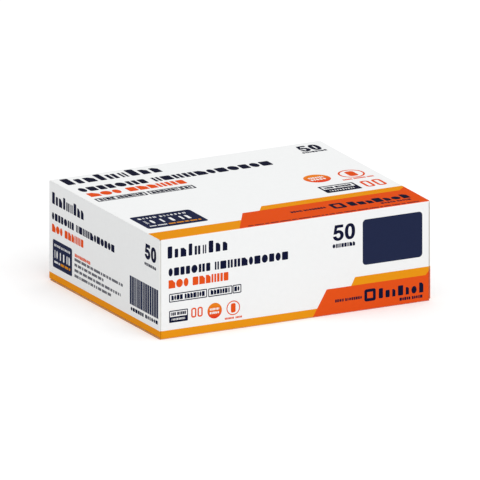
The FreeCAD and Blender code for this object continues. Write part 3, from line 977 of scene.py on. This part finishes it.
def make_crease(name, side):
    """A strip of board round one upper end edge, between the carton and its closure."""
    rounds = [Vector(place) for place in CREASE_PATH]
    inner = [place + Vector((CREASE_BOARD, CREASE_BOARD)) / math.sqrt(2) for place in rounds]
    loop = rounds + inner[::-1]
    count, last = len(loop), len(rounds) - 1
    corners = [crease_point(side, *place, y) for y in (-CREASE_HALF, CREASE_HALF) for place in loop]
    faces = [(i, (i + 1) % count, count + (i + 1) % count, count + i) for i in range(count)]
    for base in (0, count):
        far = base + count - 1
        faces += [(base + i, base + i + 1, far - 1 - i, far - i) for i in range(last)]
    mesh = bpy.data.meshes.new(name)
    mesh.from_pydata(corners, [], faces)
    shape = bmesh.new()
    shape.from_mesh(mesh)
    bmesh.ops.recalc_face_normals(shape, faces=shape.faces)
    shape.to_mesh(mesh)
    shape.free()
    strip = add_piece(name, mesh, crease_board)
    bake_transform(strip)
    return strip


for name, side, closure in (("left_crease", -1, "left_closure"), ("right_crease", 1, "right_closure")):
    strip = make_crease(name, side)
    print(name, "has", len(strip.data.polygons), "faces")

# %% [markdown]
# ## Heels of the side walls
#
# Under each dust flap the side wall runs on a little, round its own fold, down to the bottom
# panel. The solids leave that corner open, which shows as a dark speck beside the closure. Four
# short bent pieces of board close it: the fold's own quarter ring, made as one closed solid each.

# %% Heels
BOARD = 0.6
HEEL_LOW, HEEL_HIGH = BOARD + 0.02, 2.748
HEEL_WALL, HEEL_FACE, HEEL_RETURN = HALF_LENGTH - 2.1, HALF_LENGTH - 1.0, 0.6


def heel_section():
    """The fold seen from above: the wall's end, round the outside, and back round the inside."""
    turn = (HEEL_FACE - FOLD, HALF_WIDTH - FOLD)
    outside = arc(turn, (FOLD, FOLD), 90, 0, 8)
    inside = arc(turn, (FOLD - BOARD, FOLD - BOARD), 0, 90, 8)
    low = turn[1] - HEEL_RETURN
    section = [(HEEL_WALL, HALF_WIDTH)] + outside + [(HEEL_FACE, low), (HEEL_FACE - BOARD, low)]
    return section + inside + [(HEEL_WALL, HALF_WIDTH - BOARD)]


def make_heels():
    """The four corner folds, from the bottom panel up to the dust flaps."""
    section = heel_section()
    shape = bmesh.new()
    for side_x, side_y in ((-1, -1), (-1, 1), (1, -1), (1, 1)):
        foot, head = (
            [shape.verts.new((side_x * a * MM, side_y * b * MM, level * MM)) for a, b in section]
            for level in (HEEL_LOW, HEEL_HIGH)
        )
        for i in range(len(section)):
            after = (i + 1) % len(section)
            shape.faces.new((foot[i], foot[after], head[after], head[i]))
        shape.faces.new(foot)
        shape.faces.new(head)
    bmesh.ops.recalc_face_normals(shape, faces=shape.faces)
    mesh = bpy.data.meshes.new("wall_heels")
    shape.to_mesh(mesh)
    shape.free()
    heels = add_piece("wall_heels", mesh, board)
    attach(heels, "filled_carton")
    return heels


print("heels have", len(make_heels().data.polygons), "faces")

# %% [markdown]
# ## The packs inside
#
# With a flap open, the unit packs show between the dust flaps. Each is a flat paper-backed rim
# over a formed film tray. Layers repeat every 16 mm, so a remainder of the height finds the rims:
# paper there, and milky film below. Paper and film are joined by a heated tool whose fine
# diamonds stay in the rim, so the rim gets a bump of two crossed waves. Film is glossier than
# board, and its shader has a higher specular level.

# %% Unit packs
LAYER_STEP, LAYER_START, RIM_START, TRAY_TOP = 16.0, 0.65, 15.35, 12.0
# the tray's film is painted darker at its foot, as painted shade down between the stacked packs
TRAY_LOW, TRAY_HIGH, RIM_PAPER = ink(188, 203, 214), ink(216, 226, 232), ink(238, 238, 234)
PACK_FINISH = {"mottle": 0.06, "gloss": 0.32, "bump": 0.3, "shine": 0.45}
DIAMOND = 1.2
SEAL_BUMP, SEAL_DEPTH = 0.5, 0.05 * MM

pack_film, tree, shader = new_material("pack_film")
point, (x, y, z), _ = read_point(tree)
in_layer = work_out(tree, "MODULO", work_out(tree, "SUBTRACT", z, LAYER_START), LAYER_STEP)
rim = over(tree, in_layer, RIM_START)
# painted shade: the film darkens towards the foot of each layer
tray = mix_colours(tree, ramp(tree, in_layer, 0.0, TRAY_TOP), TRAY_LOW, TRAY_HIGH)
film_colour = mix_colours(tree, rim, tray, RIM_PAPER)
relief = finish_board(tree, shader, point, film_colour, **PACK_FINISH)
waves = [
    work_out(tree, "SINE", work_out(tree, "MULTIPLY", work_out(tree, step, x, y), math.tau / DIAMOND))
    for step in ("ADD", "SUBTRACT")
]
pressed = add_node(tree, "ShaderNodeBump")
pressed.inputs["Strength"].default_value = SEAL_BUMP
pressed.inputs["Distance"].default_value = SEAL_DEPTH
feed(tree, pressed.inputs["Height"], all_of(tree, *waves, rim))
feed(tree, relief.inputs["Normal"], pressed.outputs[0])
dress(pack_film, "unit_packs")
print("packs' material has", len(tree.nodes), "nodes")

# %% [markdown]
# ## Floor and background
#
# The carton stands on a plain white floor under a white sky. The background is made white by
# Light Path, for rays that see it directly, and the light on the board stays at a plain level.
# The floor is a matte surface with a little glow for those rays, and keeps the carton's shadow.

# %% Floor
FLOOR_HALF, FLOOR_DROP = 6.0, 0.05 * MM
FLOOR_GREY, FLOOR_LIFT = (0.8, 0.8, 0.8, 1), 0.25


def seen_directly(tree):
    """1 for rays that see the surface directly, in gloss or through glass."""
    path = add_node(tree, "ShaderNodeLightPath")
    return any_of(tree, *(path.outputs[f"Is {kind} Ray"] for kind in ("Camera", "Glossy", "Transmission")))


floor_mesh = bpy.data.meshes.new("floor")
floor_corners = [(a * FLOOR_HALF, b * FLOOR_HALF, 0) for a, b in ((-1, -1), (1, -1), (1, 1), (-1, 1))]
floor_mesh.from_pydata(floor_corners, [], [(0, 1, 2, 3)])
floor = bpy.data.objects.new("floor", floor_mesh)
floor.location.z = -FLOOR_DROP
bpy.context.scene.collection.objects.link(floor)

floor_white, tree, shader = new_material("floor_white")
tree.nodes.remove(shader)
matte = add_node(tree, "ShaderNodeBsdfDiffuse")
matte.inputs["Color"].default_value = FLOOR_GREY
glow = add_node(tree, "ShaderNodeEmission")
feed(tree, glow.inputs["Strength"], work_out(tree, "MULTIPLY", seen_directly(tree), FLOOR_LIFT))
together = add_node(tree, "ShaderNodeAddShader")
tree.links.new(matte.outputs[0], together.inputs[0])
tree.links.new(glow.outputs[0], together.inputs[1])
tree.links.new(together.outputs[0], tree.nodes["Material Output"].inputs["Surface"])
floor_mesh.materials.append(floor_white)
print("floor is", 2 * FLOOR_HALF, "m square")

# %% [markdown]
# ## Light
#
# An even white sky gives most of the light. One wide, soft sun from the front and above lifts the
# front and the top, and leaves the end in half shade, as the photograph has it.

# %% Sky and sun
SKY_LIGHT, SUN_LIGHT, SUN_WIDTH = 0.85, 0.86, 50
SUN_FROM = (0.02, -0.2, 0.185)

world = bpy.data.worlds.new("white_sky")
world.use_nodes = True
tree = world.node_tree
sky = tree.nodes["Background"]
sky.inputs["Color"].default_value = (1, 1, 1, 1)
feed(tree, sky.inputs["Strength"], mix_numbers(tree, seen_directly(tree), SKY_LIGHT, 1.0))
bpy.context.scene.world = world
lamp = bpy.data.lights.new("soft_sun", "SUN")
lamp.energy = SUN_LIGHT
lamp.angle = math.radians(SUN_WIDTH)
sun = bpy.data.objects.new("soft_sun", lamp)
bpy.context.scene.collection.objects.link(sun)
sun.rotation_euler = Vector(SUN_FROM).to_track_quat("Z", "Y").to_euler()
bpy.context.scene.view_settings.view_transform = "Standard"
print("sky", SKY_LIGHT, "sun", SUN_LIGHT)
